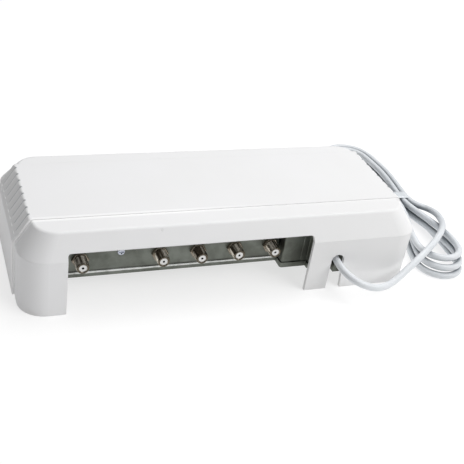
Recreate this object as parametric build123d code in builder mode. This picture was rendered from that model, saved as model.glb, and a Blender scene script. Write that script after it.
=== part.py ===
from build123d import *
import math
import os

os.makedirs("parts", exist_ok=True)

# A distribution amplifier for a television aerial: a moulded hood that lifts off a folded
# tinplate chassis with five F sockets, a built-in power supply and a fixed mains lead.
# Lengths are in millimetres. X runs along the row of sockets, the front faces -Y, Z is up,
# and the origin is on the resting surface under the middle of the hood.

# General clearances
overrun = 1.0
running_gap = 0.3
seam_gap = 0.05

# Hood
hood_length = 304.0
hood_depth = 128.0
hood_height = 60.5
crease_height = 43.5
shoulder_run = 11.0
hood_wall = 2.5
corner_radius = 18.5
top_corner_radius = 16.0
top_edge_radius = 2.4
crease_radius = 4.0
band_setback = 28.0
band_back_setback = 23.0
band_end_rise = 1.7
band_top_rise = 0.5
band_edge_radius = 1.2
groove_count = 8
groove_margin = 1.7
groove_gap = 3.2
groove_depth = 0.7
groove_foot_rise = 3.0
rib_thickness = 2.0
rib_length = 30.0
rib_end_setback = 64.0
rib_pitch_y = 56.0
end_rib_foot = 2.0
dimple_radius = 0.9
dimple_depth = 0.6
dimple_x = -55.7
dimple_share = 0.86

# Row of sockets
socket_places = (0, 2, 3, 4, 5)
first_socket_setback = 44.5
last_socket_setback = 114.5
socket_z = 26.9
barrel_radius = 4.7
barrel_reach = 12.0
barrel_chamfer = 0.5
thread_root_radius = 4.4
thread_run_out = 0.6
flange_radius = 6.4
flange_thickness = 2.0
shank_radius = 5.2
shank_length = 6.0
bore_radius = 2.85
dielectric_recess = 0.5
contact_hole_radius = 0.9
contact_radius = 0.45
contact_recess = 2.5
contact_tail = 1.6
nut_width = 11.0
nut_thickness = 2.6
nut_chamfer = 0.5

# Cut-outs in the front of the hood
bay_left_margin = 13.3
bay_right_margin = 22.5
bay_height = 48.2
bay_corner = 2.0
leg_width = 18.2
slot_foot_width = 12.0
slot_neck_width = 10.2
cord_hole_radius = 5.2
cord_z = 25.4

# Sheet-metal chassis
sheet = 0.8
bracket_height = 11.8
chassis_height = 35.2
chassis_end_setback = 14.0
chassis_back_setback = 10.0
plate_setback = 26.5
power_setback = 16.5
entry_setback = 12.0
power_step_clear = 7.3
entry_step_width = 21.0
bend_radius = 1.2
tray_lip = 4.2
lid_lip = 5.0
seam_flap_width = 5.0
tab_setback = 4.6
tab_width = 13.0
tab_height = 6.1
tab_side_clear = 0.7

# Screws
screw_head_radius = 2.75
screw_head_height = 2.0
screw_radius = 1.5
screw_hole_gap = 0.1
screw_length = 6.0
recess_width = 0.9
recess_length = 3.4
recess_depth = 1.0
earth_screw_z = 31.2
lid_screw_inset_x = 12.0
lid_screw_inset_y = 12.0

# Wall brackets, which are also the feet
bracket_gauge = 1.5
bracket_length = 80.0
bracket_centre_y = 10.0
bracket_foot_setback = 15.0
bracket_web_setback = 27.0
bracket_top_width = 17.0
wall_hole_radius = 2.3
wall_hole_inset = 6.5
wall_hole_end_inset = 10.0
bracket_screw_inset = 7.0
bracket_screw_end_inset = 15.0

# Radio-frequency board
board_gauge = 1.6
board_stand = 5.4
rf_board_end_gap = 4.0
rf_board_front_gap = 4.0
rf_board_right_gap = 6.0
rf_board_back_gap = 4.0
spacer_radius = 3.0
spacer_inset = 6.0
fence_gauge = 0.5
fence_end_gap = 18.4
fence_side_gap = 10.75
fence_cells = 3
transistor_radius = 4.2
transistor_height = 6.4
transistor_brim = 0.6
coil_radius = 2.6
coil_length = 8.0
coil_wire = 0.8
core_width = 8.0
core_depth = 6.0
core_height = 4.5
core_hole_radius = 1.0
small_can_radius = 3.2
small_can_height = 11.0
small_can_gap = 2.0

# Power supply
psu_board_left_gap = 13.2
psu_board_depth = 30.0
stack_length = 48.0
stack_back_gap = 14.2
stack_height = 16.8
core_leg_width = 16.0
core_yoke_width = 8.0
stack_front_gap = 17.0
winding_height = 28.0
winding_gap = 0.4
strap_gauge = 1.0
strap_width = 20.0
strap_foot = 7.0
main_can_radius = 8.0
main_can_height = 23.0
can_groove_depth = 0.5
can_groove_width = 1.2
bridge_length = 19.0
bridge_width = 4.0
bridge_height = 11.0
package_width = 10.0
package_gauge = 4.5
package_height = 15.0
sink_width = 24.0
sink_depth = 9.0
sink_height = 20.0
fin_count = 5
fin_gauge = 1.2
fuse_radius = 2.5
fuse_length = 20.0
fuse_cap_length = 5.0
clip_width = 4.0
clip_gauge = 0.5
clip_base = 2.0
terminal_length = 16.0
terminal_depth = 10.0
terminal_height = 13.0
terminal_pitch = 7.0
wire_radius = 0.9
wire_bend_radius = 2.0
wire_spread = 2.2
wire_lead_in = 2.4
wire_stagger = 0.35
wire_slant = 8.8

# Mains lead
cord_diameter = 5.5
layer_pitch = 6.2
inner_slot = 3.2
outer_slot = 9.6
inner_fold = 16.6
outer_fold = 23.1
front_reach = 88.0
back_reach = 86.0
front_outer_reach = 113.0
front_upper_reach = 107.0
waist_half = 7.0
waist_bend = 20.0
entry_turn = 25.0
front_turn = 8.6
back_turn = -5.0
waist_turn = 3.8
loose_end = 8.0
hank_x = 204.6
hank_y = 42.0
tie_gauge = 0.8
tie_width = 13.0
tie_gap = 0.3
plug_length = 35.0
plug_width = 35.3
plug_thickness = 13.7
plug_neck_width = 10.0
plug_neck_length = 9.0
plug_face_length = 13.0
plug_corner = 2.5
pin_radius = 2.0
pin_sleeve_radius = 1.9
pin_length = 19.0
pin_sleeve_length = 10.0
pin_pitch = 19.0
pin_round = 1.2
lead_points = (
    (83.3, -69.5, 25.4),
    (87.0, -80.6, 22.6),
    (95.4, -88.6, 18.2),
    (107.0, -90.6, 13.4),
    (119.0, -86.8, 10.0),
    (131.5, -79.6, 9.2),
    (143.5, -71.2, 11.4),
    (155.8, -62.0, 14.6),
    (168.5, -52.4, 16.6),
    (181.0, -43.0, 17.0),
    (192.3, -34.6, 17.2),
    (202.0, -26.4, 16.9),
    (210.8, -17.8, 15.7),
    (217.2, -7.4, 13.7),
    (219.9, 4.0, 11.6),
)
tail_points = (
    (166.5, 145.0, 2.75),
    (157.0, 134.5, 2.75),
    (151.2, 123.2, 2.75),
    (140.4, 113.5, 3.2),
    (127.3, 108.5, 6.85),
    (115.3, 108.5, 6.85),
)
fillet_share = 0.45
gland_flange_radius = 7.2
gland_flange_gauge = 2.0
gland_neck_radius = 6.4
gland_tip_radius = 4.3
gland_nose = 4.5
gland_barrel_radius = 5.5
gland_tail_radius = 3.6
gland_tail = 10.0

# Worked-out places in the hood and its front
front_y = -hood_depth / 2
back_y = hood_depth / 2
first_socket_x = first_socket_setback - hood_length / 2
last_socket_x = hood_length / 2 - last_socket_setback
socket_pitch = (last_socket_x - first_socket_x) / socket_places[-1]
bay_left = first_socket_x - bay_left_margin
bay_right = last_socket_x + bay_right_margin
slot_left = bay_right + leg_width
cord_x = slot_left + slot_neck_width / 2
shoulder_rise = hood_height - crease_height
shoulder_slope = shoulder_run / shoulder_rise
shoulder_inset = hood_wall * (math.sqrt(1 + shoulder_slope ** 2) - shoulder_slope)
ceiling_z = hood_height - hood_wall
band_half = hood_length / 2 + band_end_rise
band_top_half = band_half - shoulder_run
band_top_z = hood_height + band_top_rise
band_front_y = front_y + band_setback
band_length = hood_depth - band_setback - band_back_setback
groove_pitch = (band_length - 2 * groove_margin) / groove_count
rib_pitch_x = hood_length - 2 * rib_end_setback

# Worked-out places in the chassis
tray_z = bracket_height
frame_z = tray_z + sheet
chassis_top = bracket_height + chassis_height
lid_z = chassis_top - sheet
plate_y = front_y + plate_setback
power_y = front_y + power_setback
entry_y = front_y + entry_setback
chassis_back_y = back_y - chassis_back_setback
chassis_half = hood_length / 2 - chassis_end_setback
bracket_foot_x = hood_length / 2 - bracket_foot_setback
bracket_web_x = hood_length / 2 - bracket_web_setback
power_x = last_socket_x + power_step_clear
entry_x = power_x + entry_step_width
chassis_points = (
    (-chassis_half, plate_y),
    (power_x, plate_y),
    (power_x, power_y),
    (entry_x, power_y),
    (entry_x, entry_y),
    (chassis_half, entry_y),
    (chassis_half, chassis_back_y),
    (-chassis_half, chassis_back_y),
)
board_z = frame_z + board_stand
board_top = board_z + board_gauge
rf_board_left = -chassis_half + rf_board_end_gap
rf_board_right = power_x - rf_board_right_gap
rf_board_front = plate_y + rf_board_front_gap
rf_board_back = chassis_back_y - rf_board_back_gap
rf_board_length = rf_board_right - rf_board_left
rf_board_depth = rf_board_back - rf_board_front
rf_board_x = (rf_board_left + rf_board_right) / 2
rf_board_y = (rf_board_front + rf_board_back) / 2
fence_length = rf_board_length - 2 * fence_end_gap
fence_depth = rf_board_depth - 2 * fence_side_gap
psu_left = rf_board_right + psu_board_left_gap
psu_board_length = chassis_half - rf_board_end_gap - psu_left
psu_board_x = psu_left + psu_board_length / 2
psu_board_y = rf_board_back - psu_board_depth / 2
stack_x = chassis_half - rf_board_end_gap - strap_foot - strap_gauge - stack_length / 2
stack_front = entry_y + sheet + stack_front_gap
stack_depth = rf_board_back - psu_board_depth - stack_back_gap - stack_front
stack_y = stack_front + stack_depth / 2
stack_mid_z = frame_z + chassis_height / 2 - sheet
stack_z = stack_mid_z - stack_height / 2


def facing_front(y):
    # A plane that looks out of the front, with local x along X and local y up
    return Plane.XZ.offset(-y)


def stud_hole(radius):
    # Radius of the hole that a screw of the given radius passes through
    return radius + screw_hole_gap


# Outline of the chassis walls, outer faces
with BuildSketch() as chassis_outline:
    with BuildLine():
        Polyline(*chassis_points, close=True)
    make_face()
    fillet(chassis_outline.vertices(), bend_radius)

# Raised band that runs across the top of the hood and down both ends
with BuildPart() as band_form:
    with BuildSketch(facing_front(band_front_y)):
        with BuildLine():
            Polyline(
                (-band_half, 0),
                (-band_half, crease_height),
                (-band_top_half, band_top_z),
                (band_top_half, band_top_z),
                (band_half, crease_height),
                (band_half, 0),
                close=True,
            )
        make_face()
    extrude(amount=-band_length)
    long_edges = band_form.edges().filter_by(Axis.Y)
    fillet(long_edges.group_by(Axis.Z)[-1], top_edge_radius)
    crease_edges = band_form.edges().filter_by(Axis.Y).group_by(Axis.Z)[1]
    fillet(crease_edges, crease_radius)

# Stepped grooves in one sloping shoulder of the band
groove_base_z = crease_height + groove_foot_rise
band_slope = Vector(shoulder_run, 0, band_top_z - crease_height).normalized()
groove_start = Vector(
    -band_half + shoulder_run * groove_foot_rise / (band_top_z - crease_height),
    band_front_y + band_length / 2,
    groove_base_z,
)
groove_length = (band_top_z - groove_base_z) / band_slope.Z + overrun
with BuildPart() as groove_form:
    with BuildSketch(Plane(origin=groove_start, x_dir=(0, 1, 0), z_dir=band_slope)):
        for index in range(groove_count):
            groove_x = (index - (groove_count - 1) / 2) * groove_pitch
            with BuildLine():
                Polyline(
                    (groove_x, overrun),
                    (groove_x, -groove_depth),
                    (groove_x + groove_pitch - groove_gap, 0),
                    (groove_x + groove_pitch - groove_gap, overrun),
                    close=True,
                )
            make_face()
    extrude(amount=groove_length)

# Hollow of the hood
with BuildPart() as hollow_form:
    with BuildSketch():
        RectangleRounded(hood_length - 2 * hood_wall, hood_depth - 2 * hood_wall, corner_radius - hood_wall)
    extrude(amount=crease_height)
    with BuildSketch(Plane.XY.offset(crease_height)):
        RectangleRounded(hood_length - 2 * hood_wall, hood_depth - 2 * hood_wall, corner_radius - hood_wall)
    with BuildSketch(Plane.XY.offset(ceiling_z)):
        RectangleRounded(
            hood_length - 2 * shoulder_run - 2 * shoulder_inset,
            hood_depth - 2 * shoulder_run - 2 * shoulder_inset,
            top_corner_radius - shoulder_inset,
        )
    loft()

# Hood
with BuildPart() as hood:
    with BuildSketch():
        RectangleRounded(hood_length, hood_depth, corner_radius)
    extrude(amount=crease_height)
    with BuildSketch(Plane.XY.offset(crease_height)):
        RectangleRounded(hood_length, hood_depth, corner_radius)
    with BuildSketch(Plane.XY.offset(hood_height)):
        RectangleRounded(hood_length - 2 * shoulder_run, hood_depth - 2 * shoulder_run, top_corner_radius)
    loft()
    fillet(hood.faces().sort_by(Axis.Z)[-1].edges(), top_edge_radius)
    add(band_form.part)
    add(groove_form.part, mode=Mode.SUBTRACT)
    mirror(groove_form.part, about=Plane.YZ, mode=Mode.SUBTRACT)
    add(hollow_form.part, mode=Mode.SUBTRACT)
    # Wide cut-out in front of the sockets, open at the bottom
    with BuildSketch(facing_front(front_y - overrun)) as bay_cut:
        with BuildLine():
            Polyline(
                (bay_left, -overrun),
                (bay_left, bay_height),
                (bay_right, bay_height),
                (bay_right, -overrun),
                close=True,
            )
        make_face()
        fillet(bay_cut.vertices().group_by(Axis.Y)[-1], bay_corner)
    extrude(amount=-(shoulder_run + hood_wall + overrun), mode=Mode.SUBTRACT)
    # Keyhole for the cord, open at the bottom so that the hood lifts off over it
    with BuildSketch(facing_front(front_y - overrun)):
        with BuildLine():
            Polyline(
                (slot_left, -overrun),
                (slot_left, cord_z),
                (slot_left + slot_neck_width, cord_z),
                (slot_left + slot_foot_width, 0),
                (slot_left + slot_foot_width, -overrun),
                close=True,
            )
        make_face()
        with Locations((cord_x, cord_z)):
            Circle(cord_hole_radius)
    extrude(amount=-(hood_wall + 2 * overrun), mode=Mode.SUBTRACT)
    # Ribs under the top, which rest the hood on the chassis lid
    with BuildSketch(Plane.XY.offset(chassis_top + running_gap)):
        with GridLocations(rib_pitch_x, rib_pitch_y, 2, 2):
            Rectangle(rib_thickness, rib_length)
    extrude(amount=ceiling_z + overrun - chassis_top - running_gap)
    # Ribs inside both ends, which locate the hood on the chassis
    end_rib_reach = hood_length / 2 - chassis_half - sheet - seam_gap - running_gap - hood_wall / 2
    end_rib_x = hood_length / 2 - hood_wall / 2 - end_rib_reach / 2
    with BuildSketch(Plane.XY.offset(end_rib_foot)):
        with GridLocations(2 * end_rib_x, rib_pitch_y, 2, 2):
            Rectangle(end_rib_reach, rib_thickness)
    extrude(amount=crease_height - end_rib_foot)
    # Small dimple high on the front shoulder
    dimple_z = crease_height + dimple_share * shoulder_rise
    dimple_y = front_y + dimple_share * shoulder_run
    shoulder_out = Vector(0, -shoulder_rise, shoulder_run).normalized()
    with BuildSketch(Plane(origin=(dimple_x, dimple_y, dimple_z), x_dir=(1, 0, 0), z_dir=shoulder_out)):
        Circle(dimple_radius)
    extrude(amount=-dimple_depth, mode=Mode.SUBTRACT)
hood.part.label = "hood"
export_step(hood.part, "parts/hood.step")

# Bottom tray of the chassis, with a low lip outside the walls
bracket_screw_x = bracket_web_x - bracket_top_width + bracket_screw_inset
bracket_screw_pitch = bracket_length - 2 * bracket_screw_end_inset
with BuildPart() as bottom_tray:
    with BuildSketch(Plane.XY.offset(tray_z)):
        add(chassis_outline.sketch)
        offset(amount=sheet + seam_gap)
    extrude(amount=tray_lip)
    with BuildSketch(Plane.XY.offset(frame_z)):
        add(chassis_outline.sketch)
        offset(amount=seam_gap)
    extrude(amount=tray_lip, mode=Mode.SUBTRACT)
    with Locations(Location((0, bracket_centre_y, tray_z))):
        with GridLocations(2 * bracket_screw_x, bracket_screw_pitch, 2, 2):
            Cylinder(
                stud_hole(screw_radius),
                2 * overrun + 2 * sheet,
                mode=Mode.SUBTRACT,
            )
bottom_tray.part.label = "bottom_tray"
export_step(bottom_tray.part, "parts/bottom_tray.step")

# Walls of the chassis, folded from one strip, with the socket holes in the front
earth_screw_x = first_socket_x + socket_pitch
lip_top_z = tray_z + tray_lip + seam_gap
lid_lip_z = lid_z - lid_lip - seam_gap
tab_left = cord_x + tab_side_clear
tab_front = front_y + tab_setback
lip_front_y = entry_y - sheet - 2 * seam_gap
with BuildPart() as chassis_frame:
    with BuildSketch(Plane.XY.offset(frame_z)):
        add(chassis_outline.sketch)
        offset(amount=-sheet, mode=Mode.SUBTRACT)
    extrude(amount=lid_z - frame_z)
    with BuildSketch(facing_front(plate_y - overrun)):
        with Locations(*[(first_socket_x + place * socket_pitch, socket_z) for place in socket_places]):
            Circle(barrel_radius + seam_gap)
        with Locations((earth_screw_x, earth_screw_z)):
            Circle(stud_hole(screw_radius))
    extrude(amount=-(sheet + 2 * overrun), mode=Mode.SUBTRACT)
    with BuildSketch(facing_front(entry_y - overrun)):
        with Locations((cord_x, cord_z)):
            Circle(gland_barrel_radius + seam_gap)
    extrude(amount=-(sheet + 2 * overrun), mode=Mode.SUBTRACT)
    # Overlap where the strip's ends are joined beside the lead entry
    with BuildSketch(facing_front(power_y)):
        with Locations((entry_x - seam_flap_width / 2, (lip_top_z + lid_lip_z) / 2)):
            Rectangle(seam_flap_width, lid_lip_z - lip_top_z)
    extrude(amount=sheet / 2)
    # Folded tab below the lead, just behind the front of the hood
    with BuildSketch(Plane.XY.offset(tray_z)):
        with BuildLine():
            Polyline(
                (tab_left, lip_front_y),
                (tab_left, tab_front),
                (tab_left + tab_width, tab_front),
                (tab_left + tab_width, tab_front + sheet),
                (tab_left + sheet, tab_front + sheet),
                (tab_left + sheet, lip_front_y),
                close=True,
            )
        make_face()
    extrude(amount=tab_height)
    with BuildSketch(Plane.XY.offset(lip_top_z)):
        with Locations((tab_left + sheet / 2, (lip_front_y + entry_y + sheet / 2) / 2)):
            Rectangle(sheet, entry_y + sheet / 2 - lip_front_y + seam_gap)
    extrude(amount=tray_z + tab_height - lip_top_z)
chassis_frame.part.label = "chassis_frame"
export_step(chassis_frame.part, "parts/chassis_frame.step")

# Top lid of the chassis, with its lip outside the walls
lid_screw_places = (
    (-chassis_half + lid_screw_inset_x, plate_y + lid_screw_inset_y),
    (-chassis_half + lid_screw_inset_x, chassis_back_y - lid_screw_inset_y),
    (chassis_half - lid_screw_inset_x, entry_y + lid_screw_inset_y),
    (chassis_half - lid_screw_inset_x, chassis_back_y - lid_screw_inset_y),
)
with BuildPart() as top_lid:
    with BuildSketch(Plane.XY.offset(lid_z)):
        add(chassis_outline.sketch)
        offset(amount=sheet + seam_gap)
    extrude(amount=sheet)
    with BuildSketch(Plane.XY.offset(lid_z - lid_lip)):
        add(chassis_outline.sketch)
        offset(amount=sheet + seam_gap)
    extrude(amount=lid_lip)
    with BuildSketch(Plane.XY.offset(lid_z - lid_lip)):
        add(chassis_outline.sketch)
        offset(amount=seam_gap)
    extrude(amount=lid_lip, mode=Mode.SUBTRACT)
    with BuildSketch(Plane.XY.offset(lid_z - overrun)):
        with Locations(*lid_screw_places):
            Circle(stud_hole(screw_radius))
    extrude(amount=sheet + 2 * overrun, mode=Mode.SUBTRACT)
top_lid.part.label = "top_lid"
export_step(top_lid.part, "parts/top_lid.step")


def pan_screw(plane, length):
    # A pan-head screw with a cross recess, its head standing on the given plane
    with BuildPart() as screw:
        with BuildSketch(plane):
            Circle(screw_head_radius)
        extrude(amount=screw_head_height)
        fillet(screw.faces().sort_by(plane_axis(plane))[-1].edges(), screw_head_height / 2)
        with BuildSketch(plane.offset(screw_head_height)):
            Rectangle(recess_length, recess_width)
            Rectangle(recess_width, recess_length)
        extrude(amount=-recess_depth, mode=Mode.SUBTRACT)
        with BuildSketch(plane):
            Circle(screw_radius)
        extrude(amount=-length)
    return screw.part


def plane_axis(plane):
    return Axis(plane.origin, plane.z_dir)


# Screws that hold the lid, one in each corner
lid_screw_set = [pan_screw(Plane((x, y, chassis_top)), screw_length) for x, y in lid_screw_places]
with BuildPart() as lid_screws:
    add(lid_screw_set)
lid_screws.part.label = "lid_screws"
export_step(lid_screws.part, "parts/lid_screws.step")

# Earthing screw in the place of a socket
earth_screw_form = pan_screw(
    Plane((earth_screw_x, plate_y, earth_screw_z), z_dir=(0, -1, 0)),
    screw_length,
)
with BuildPart() as earth_screw:
    add(earth_screw_form)
earth_screw.part.label = "earth_screw"
export_step(earth_screw.part, "parts/earth_screw.step")

# F sockets: threaded barrel, flange behind the plate, and the shank inside the chassis
tip_y = plate_y - barrel_reach
inner_plate_y = plate_y + sheet
flange_back_y = inner_plate_y + flange_thickness
shank_back_y = flange_back_y + shank_length
thread_end_y = plate_y - nut_thickness - thread_run_out
for number, place in enumerate(socket_places, start=1):
    socket_x = first_socket_x + place * socket_pitch
    socket_axis = Axis((socket_x, 0, socket_z), (0, 1, 0))
    with BuildPart() as f_socket:
        with BuildSketch(Plane.XY.offset(socket_z)):
            with BuildLine():
                Polyline(
                    (socket_x + bore_radius, tip_y),
                    (socket_x + barrel_radius - barrel_chamfer, tip_y),
                    (socket_x + barrel_radius, tip_y + barrel_chamfer),
                    (socket_x + barrel_radius, thread_end_y),
                    (socket_x + thread_root_radius, thread_end_y),
                    (socket_x + thread_root_radius, plate_y),
                    (socket_x + barrel_radius, plate_y),
                    (socket_x + barrel_radius, inner_plate_y),
                    (socket_x + flange_radius, inner_plate_y),
                    (socket_x + flange_radius, flange_back_y),
                    (socket_x + shank_radius, flange_back_y),
                    (socket_x + shank_radius, shank_back_y),
                    (socket_x + bore_radius, shank_back_y),
                    close=True,
                )
            make_face()
        revolve(axis=socket_axis)
    f_socket.part.label = f"f_socket_{number}"
    export_step(f_socket.part, f"parts/f_socket_{number}.step")

    with BuildPart() as f_nut:
        with BuildSketch(facing_front(plate_y)):
            with Locations((socket_x, socket_z)):
                RegularPolygon(nut_width / 2, 6, major_radius=False)
        extrude(amount=nut_thickness)
        chamfer(f_nut.faces().sort_by(Axis.Y)[0].edges(), nut_chamfer)
        with BuildSketch(facing_front(plate_y)):
            with Locations((socket_x, socket_z)):
                Circle(thread_root_radius + seam_gap)
        extrude(amount=nut_thickness, mode=Mode.SUBTRACT)
    f_nut.part.label = f"f_nut_{number}"
    export_step(f_nut.part, f"parts/f_nut_{number}.step")

    with BuildPart() as f_dielectric:
        with BuildSketch(facing_front(tip_y + dielectric_recess)):
            with Locations((socket_x, socket_z)):
                Circle(bore_radius - seam_gap)
                Circle(contact_hole_radius, mode=Mode.SUBTRACT)
        extrude(amount=-(shank_back_y - tip_y - dielectric_recess))
    f_dielectric.part.label = f"f_dielectric_{number}"
    export_step(f_dielectric.part, f"parts/f_dielectric_{number}.step")

    with BuildPart() as f_contact:
        with BuildSketch(facing_front(tip_y + contact_recess)):
            with Locations((socket_x, socket_z)):
                Circle(contact_radius)
        extrude(amount=-(shank_back_y + contact_tail - tip_y - contact_recess))
        with BuildSketch(Plane.XY.offset(board_top)):
            with Locations((socket_x, shank_back_y + contact_tail - 2 * contact_radius)):
                Circle(contact_radius)
        extrude(amount=socket_z - board_top)
    f_contact.part.label = f"f_contact_{number}"
    export_step(f_contact.part, f"parts/f_contact_{number}.step")

# Wall brackets: folded feet under both ends, with a flange to screw to a wall or shelf
wall_hole_x = bracket_foot_x - wall_hole_inset
wall_hole_pitch = bracket_length - 2 * wall_hole_end_inset
for side, name in ((-1, "wall_bracket_left"), (1, "wall_bracket_right")):
    with BuildPart() as wall_bracket:
        with BuildSketch(facing_front(bracket_centre_y - bracket_length / 2)):
            with BuildLine():
                Polyline(
                    (side * bracket_foot_x, 0),
                    (side * bracket_foot_x, bracket_gauge),
                    (side * bracket_web_x, bracket_gauge),
                    (side * bracket_web_x, bracket_height),
                    (side * (bracket_web_x - bracket_top_width), bracket_height),
                    (side * (bracket_web_x - bracket_top_width), bracket_height - bracket_gauge),
                    (side * (bracket_web_x - bracket_gauge), bracket_height - bracket_gauge),
                    (side * (bracket_web_x - bracket_gauge), 0),
                    close=True,
                )
            make_face()
        extrude(amount=-bracket_length)
        foot_corners = wall_bracket.edges().filter_by(Axis.Z).group_by(Axis.X)[0 if side < 0 else -1]
        fillet(foot_corners, bracket_gauge * 2)
        with BuildSketch(Plane.XY.offset(-overrun)):
            with Locations((side * wall_hole_x, bracket_centre_y)):
                with GridLocations(0, wall_hole_pitch, 1, 2):
                    Circle(wall_hole_radius)
            with Locations((side * bracket_screw_x, bracket_centre_y)):
                with GridLocations(0, bracket_screw_pitch, 1, 2):
                    Circle(stud_hole(screw_radius))
        extrude(amount=bracket_height + 2 * overrun, mode=Mode.SUBTRACT)
    wall_bracket.part.label = name
    export_step(wall_bracket.part, f"parts/{name}.step")

# Screws up through the brackets into the tray
bracket_screw_set = []
for side in (-1, 1):
    for end in (-1, 1):
        head_place = (
            side * bracket_screw_x,
            bracket_centre_y + end * bracket_screw_pitch / 2,
            bracket_height - bracket_gauge,
        )
        head_plane = Plane(head_place, z_dir=(0, 0, -1))
        bracket_screw_set.append(pan_screw(head_plane, bracket_gauge + sheet + overrun))
with BuildPart() as bracket_screws:
    add(bracket_screw_set)
bracket_screws.part.label = "bracket_screws"
export_step(bracket_screws.part, "parts/bracket_screws.step")

# Gland that grips the mains lead where it enters the chassis
gland_tip_y = entry_y - gland_flange_gauge - gland_nose
with BuildPart() as cord_gland:
    with BuildSketch(facing_front(entry_y)):
        with Locations((cord_x, cord_z)):
            Circle(gland_flange_radius)
    extrude(amount=gland_flange_gauge)
    with BuildSketch(Plane.XY.offset(cord_z)):
        with BuildLine():
            Polyline(
                (cord_x, gland_tip_y),
                (cord_x + gland_tip_radius, gland_tip_y),
                (cord_x + gland_neck_radius, entry_y - gland_flange_gauge),
                (cord_x + gland_barrel_radius, entry_y),
                (cord_x + gland_barrel_radius, entry_y + sheet + overrun),
                (cord_x + gland_tail_radius, entry_y + gland_tail),
                (cord_x, entry_y + gland_tail),
                close=True,
            )
        make_face()
    revolve(axis=Axis((cord_x, 0, cord_z), (0, 1, 0)))
cord_gland.part.label = "cord_gland"
export_step(cord_gland.part, "parts/cord_gland.step")

# Circuit board behind the sockets, on spacers
with BuildPart() as rf_board:
    with BuildSketch(Plane.XY.offset(board_z)):
        with Locations((rf_board_x, rf_board_y)):
            Rectangle(rf_board_length, rf_board_depth)
    extrude(amount=board_gauge)
rf_board.part.label = "rf_board"
export_step(rf_board.part, "parts/rf_board.step")

# Circuit board of the power supply, in the right back corner
with BuildPart() as psu_board:
    with BuildSketch(Plane.XY.offset(board_z)):
        with Locations((psu_board_x, psu_board_y)):
            Rectangle(psu_board_length, psu_board_depth)
    extrude(amount=board_gauge)
psu_board.part.label = "psu_board"
export_step(psu_board.part, "parts/psu_board.step")

# Spacers between the tray and both boards
with BuildPart() as board_spacers:
    with BuildSketch(Plane.XY.offset(frame_z)):
        with Locations((rf_board_x, rf_board_y)):
            with GridLocations(
                rf_board_length - 2 * spacer_inset,
                rf_board_depth - 2 * spacer_inset,
                2,
                2,
            ):
                Circle(spacer_radius)
        with Locations((psu_board_x, psu_board_y)):
            with GridLocations(
                psu_board_length - 2 * spacer_inset,
                psu_board_depth - 2 * spacer_inset,
                2,
                2,
            ):
                Circle(spacer_radius)
    extrude(amount=board_stand)
board_spacers.part.label = "board_spacers"
export_step(board_spacers.part, "parts/board_spacers.step")

# Screening fence round the amplifier stages, one cell for each
cell_length = (fence_length - (fence_cells + 1) * fence_gauge) / fence_cells
cell_depth = fence_depth - 2 * fence_gauge
fence_front = rf_board_y - fence_depth / 2
fence_height = lid_z - running_gap - board_top
cell_pitch = cell_length + fence_gauge
with BuildPart() as shield_fence:
    with BuildSketch(Plane.XY.offset(board_top)):
        with Locations((rf_board_x, rf_board_y)):
            Rectangle(fence_length, fence_depth)
            with GridLocations(cell_pitch, 0, fence_cells, 1):
                Rectangle(cell_length, cell_depth, mode=Mode.SUBTRACT)
    extrude(amount=fence_height)
shield_fence.part.label = "shield_fence"
export_step(shield_fence.part, "parts/shield_fence.step")

# Metal-can transistors, one in each cell
with BuildPart() as rf_transistors:
    with BuildSketch(Plane.XY.offset(board_top)):
        with Locations((rf_board_x, rf_board_y)):
            with GridLocations(cell_pitch, 0, fence_cells, 1):
                Circle(transistor_radius + transistor_brim)
    extrude(amount=transistor_brim)
    with BuildSketch(Plane.XY.offset(board_top + transistor_brim)):
        with Locations((rf_board_x, rf_board_y)):
            with GridLocations(cell_pitch, 0, fence_cells, 1):
                Circle(transistor_radius)
    extrude(amount=transistor_height - transistor_brim)
rf_transistors.part.label = "rf_transistors"
export_step(rf_transistors.part, "parts/rf_transistors.step")

# Air-cored filter coils, lying behind the transistors
coil_y = rf_board_y + fence_depth / 4
with BuildPart() as filter_coils:
    with BuildSketch(facing_front(coil_y - coil_length / 2)):
        with Locations((rf_board_x, board_top + coil_radius)):
            with GridLocations(cell_pitch, 0, fence_cells, 1):
                Circle(coil_radius)
                Circle(coil_radius - coil_wire, mode=Mode.SUBTRACT)
    extrude(amount=-coil_length)
filter_coils.part.label = "filter_coils"
export_step(filter_coils.part, "parts/filter_coils.step")

# Two-hole ferrite cores of the splitters, in front of the transistors
core_y = rf_board_y - fence_depth / 4
with BuildPart() as splitter_cores:
    with BuildSketch(facing_front(core_y - core_depth / 2)):
        with Locations((rf_board_x, board_top + core_height / 2)):
            with GridLocations(cell_pitch, 0, fence_cells, 1):
                RectangleRounded(core_width, core_height, core_height / 4)
            with GridLocations(cell_pitch, 0, fence_cells, 1):
                with GridLocations(core_width / 2, 0, 2, 1):
                    Circle(core_hole_radius, mode=Mode.SUBTRACT)
    extrude(amount=-core_depth)
splitter_cores.part.label = "splitter_cores"
export_step(splitter_cores.part, "parts/splitter_cores.step")

# Small electrolytic capacitors beside the transistors
with BuildPart() as board_capacitors:
    with BuildSketch(Plane.XY.offset(board_top)):
        with Locations((rf_board_x + core_width / 2 + small_can_gap + small_can_radius, rf_board_y)):
            with GridLocations(cell_pitch, fence_depth / 2, fence_cells, 2):
                Circle(small_can_radius)
    extrude(amount=small_can_height)
board_capacitors.part.label = "board_capacitors"
export_step(board_capacitors.part, "parts/board_capacitors.step")

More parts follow.
